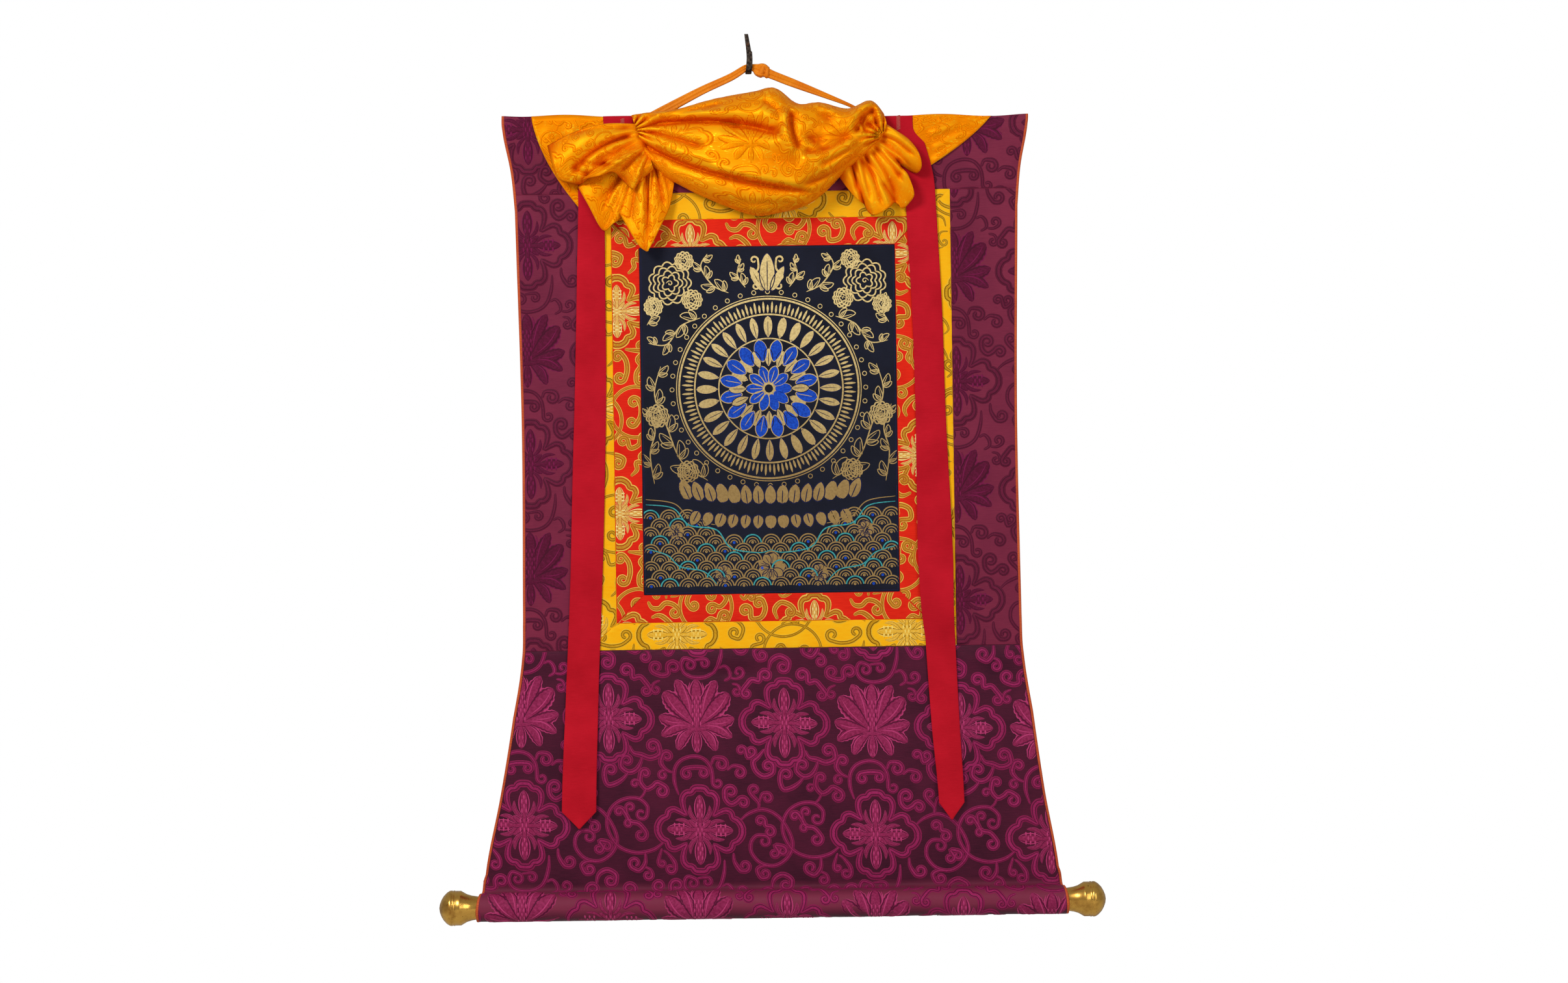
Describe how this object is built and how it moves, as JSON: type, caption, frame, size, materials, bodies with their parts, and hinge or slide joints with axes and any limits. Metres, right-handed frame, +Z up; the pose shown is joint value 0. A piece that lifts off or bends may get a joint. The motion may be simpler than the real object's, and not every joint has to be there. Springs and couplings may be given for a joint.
{
  "type": "thangka scroll painting on a wall hook",
  "caption": "Hanging cloth scroll painting in brocade borders, with a raised silk veil, ribbons, a silk tie on a wall hook, and a bottom rod with turned knobs.",
  "frame": {"origin": "on the wall face of the hook's back, near its top", "axes": "+Z up, +Y into the wall, so the painted side faces -Y; +X to the right as seen from the front"},
  "size_m": [1.0226, 0.0912, 1.3641],
  "materials": {
    "canvas": "primed painted cotton, matt",
    "red_brocade": "woven brocade with a gold figure",
    "gold_brocade": "satin brocade with an outlined figure",
    "damask": "silk damask, raised satin figure on a matt ground",
    "piping": "narrow cotton piping",
    "rod_wood": "plain turned wood",
    "knob_brass": "spun and polished, a little tarnished",
    "hook_iron": "hand worked, dark, a little rough",
    "ribbon_cloth": "plain weave, soft sheen",
    "veil_silk": "thin silk damask, glossy figure"
  },
  "bodies": {
    "root": {"painting": "canvas", "red_border_top": "red_brocade", "red_border_bottom": "red_brocade", "red_border_left": "red_brocade", "red_border_right": "red_brocade", "yellow_border_top": "gold_brocade", "yellow_border_bottom": "gold_brocade", "yellow_border_left": "gold_brocade", "yellow_border_right": "gold_brocade", "heading": "damask", "side_panel_left": "damask", "side_panel_right": "damask", "bottom_panel": "damask", "piping_left": "piping", "piping_right": "piping", "rod": "rod_wood", "knob_left": "knob_brass", "knob_right": "knob_brass", "wall_hook": "hook_iron", "tie": "veil_silk", "ribbon_left": "ribbon_cloth", "ribbon_right": "ribbon_cloth", "veil": "veil_silk"}
  },
  "joints": []
}
